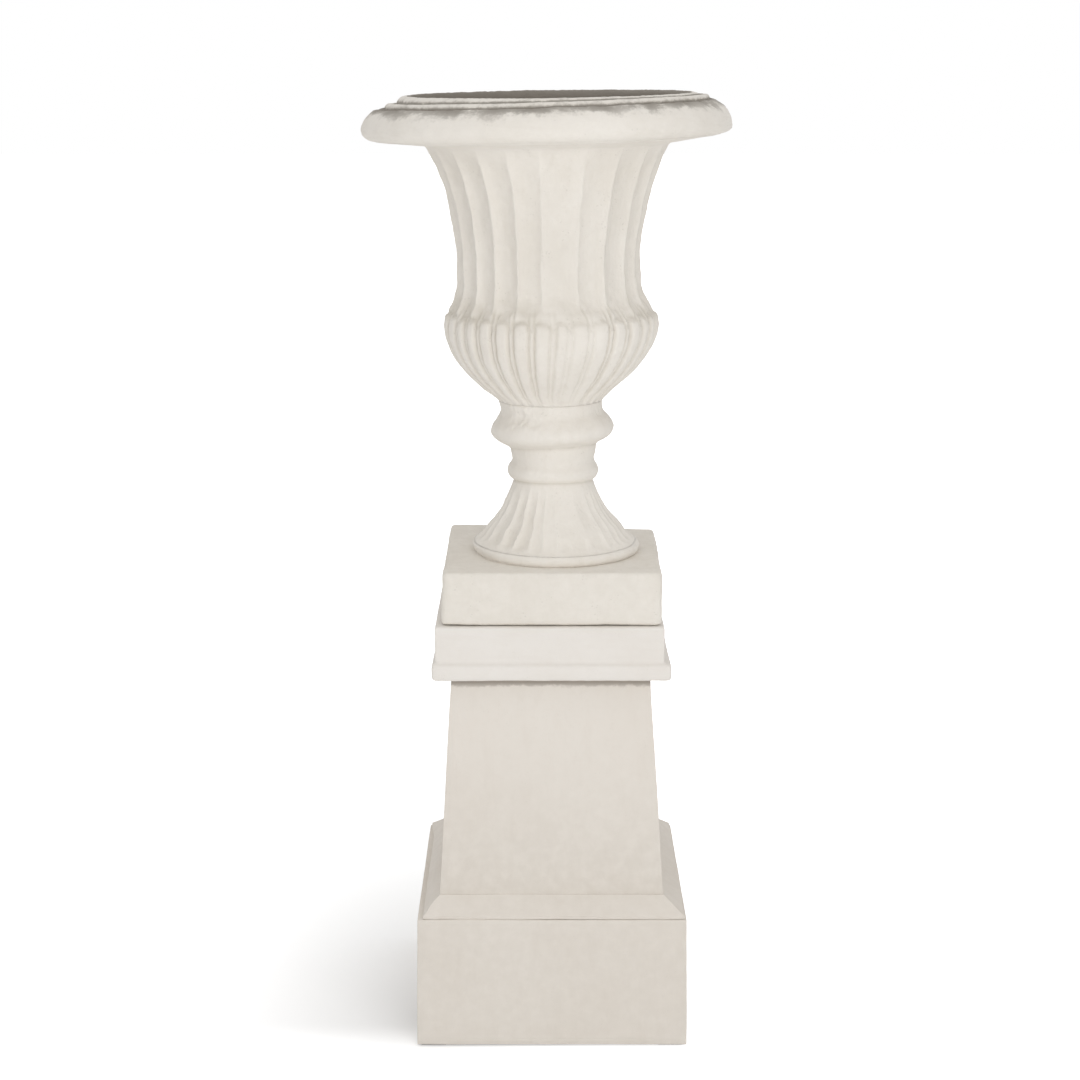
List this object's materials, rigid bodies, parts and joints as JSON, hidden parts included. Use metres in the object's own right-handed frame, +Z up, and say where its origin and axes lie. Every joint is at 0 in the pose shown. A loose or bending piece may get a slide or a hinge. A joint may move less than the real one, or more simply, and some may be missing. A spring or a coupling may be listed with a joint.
{
  "type": "urn planter",
  "caption": "Fluted campana garden urn on a square pedestal, in pale cast stone; the hollow bowl holds plants and drains through its stem.",
  "frame": {"origin": "on the floor under the middle of the pedestal", "axes": "+Z up along the urn's axis, -Y towards the front, +X to the right seen from the front"},
  "size_m": [0.5319, 0.532, 1.386],
  "materials": {
    "urn_stone": "chalky, hand-finished",
    "cap_stone": "matte, slightly chalky",
    "pedestal_stone": "matte, smooth cast",
    "pads": "matte",
    "seal_rubber": "matte",
    "steel": "plain",
    "brass_fitting": "dull"
  },
  "bodies": {
    "pedestal": {"base_pads": "pads", "base_block": "pedestal_stone", "base_moulding": "pedestal_stone", "base_dowels": "steel", "pedestal_shaft": "pedestal_stone", "shaft_dowels": "steel", "pedestal_cap": "cap_stone", "cap_dowels": "steel", "setting_pads": "pads"},
    "urn": {"urn_socle": "urn_stone", "urn_bowl": "urn_stone", "drain_tube": "brass_fitting", "bowl_seal": "seal_rubber", "bowl_washer": "steel", "bowl_lock_nut": "brass_fitting", "foot_washer": "steel", "foot_lock_nut": "brass_fitting"}
  },
  "joints": [
    {"name": "urn_lift", "type": "slide", "parent": "pedestal", "child": "urn", "axis": [0, 0, 1], "range_m": [0, 0.25]}
  ]
}
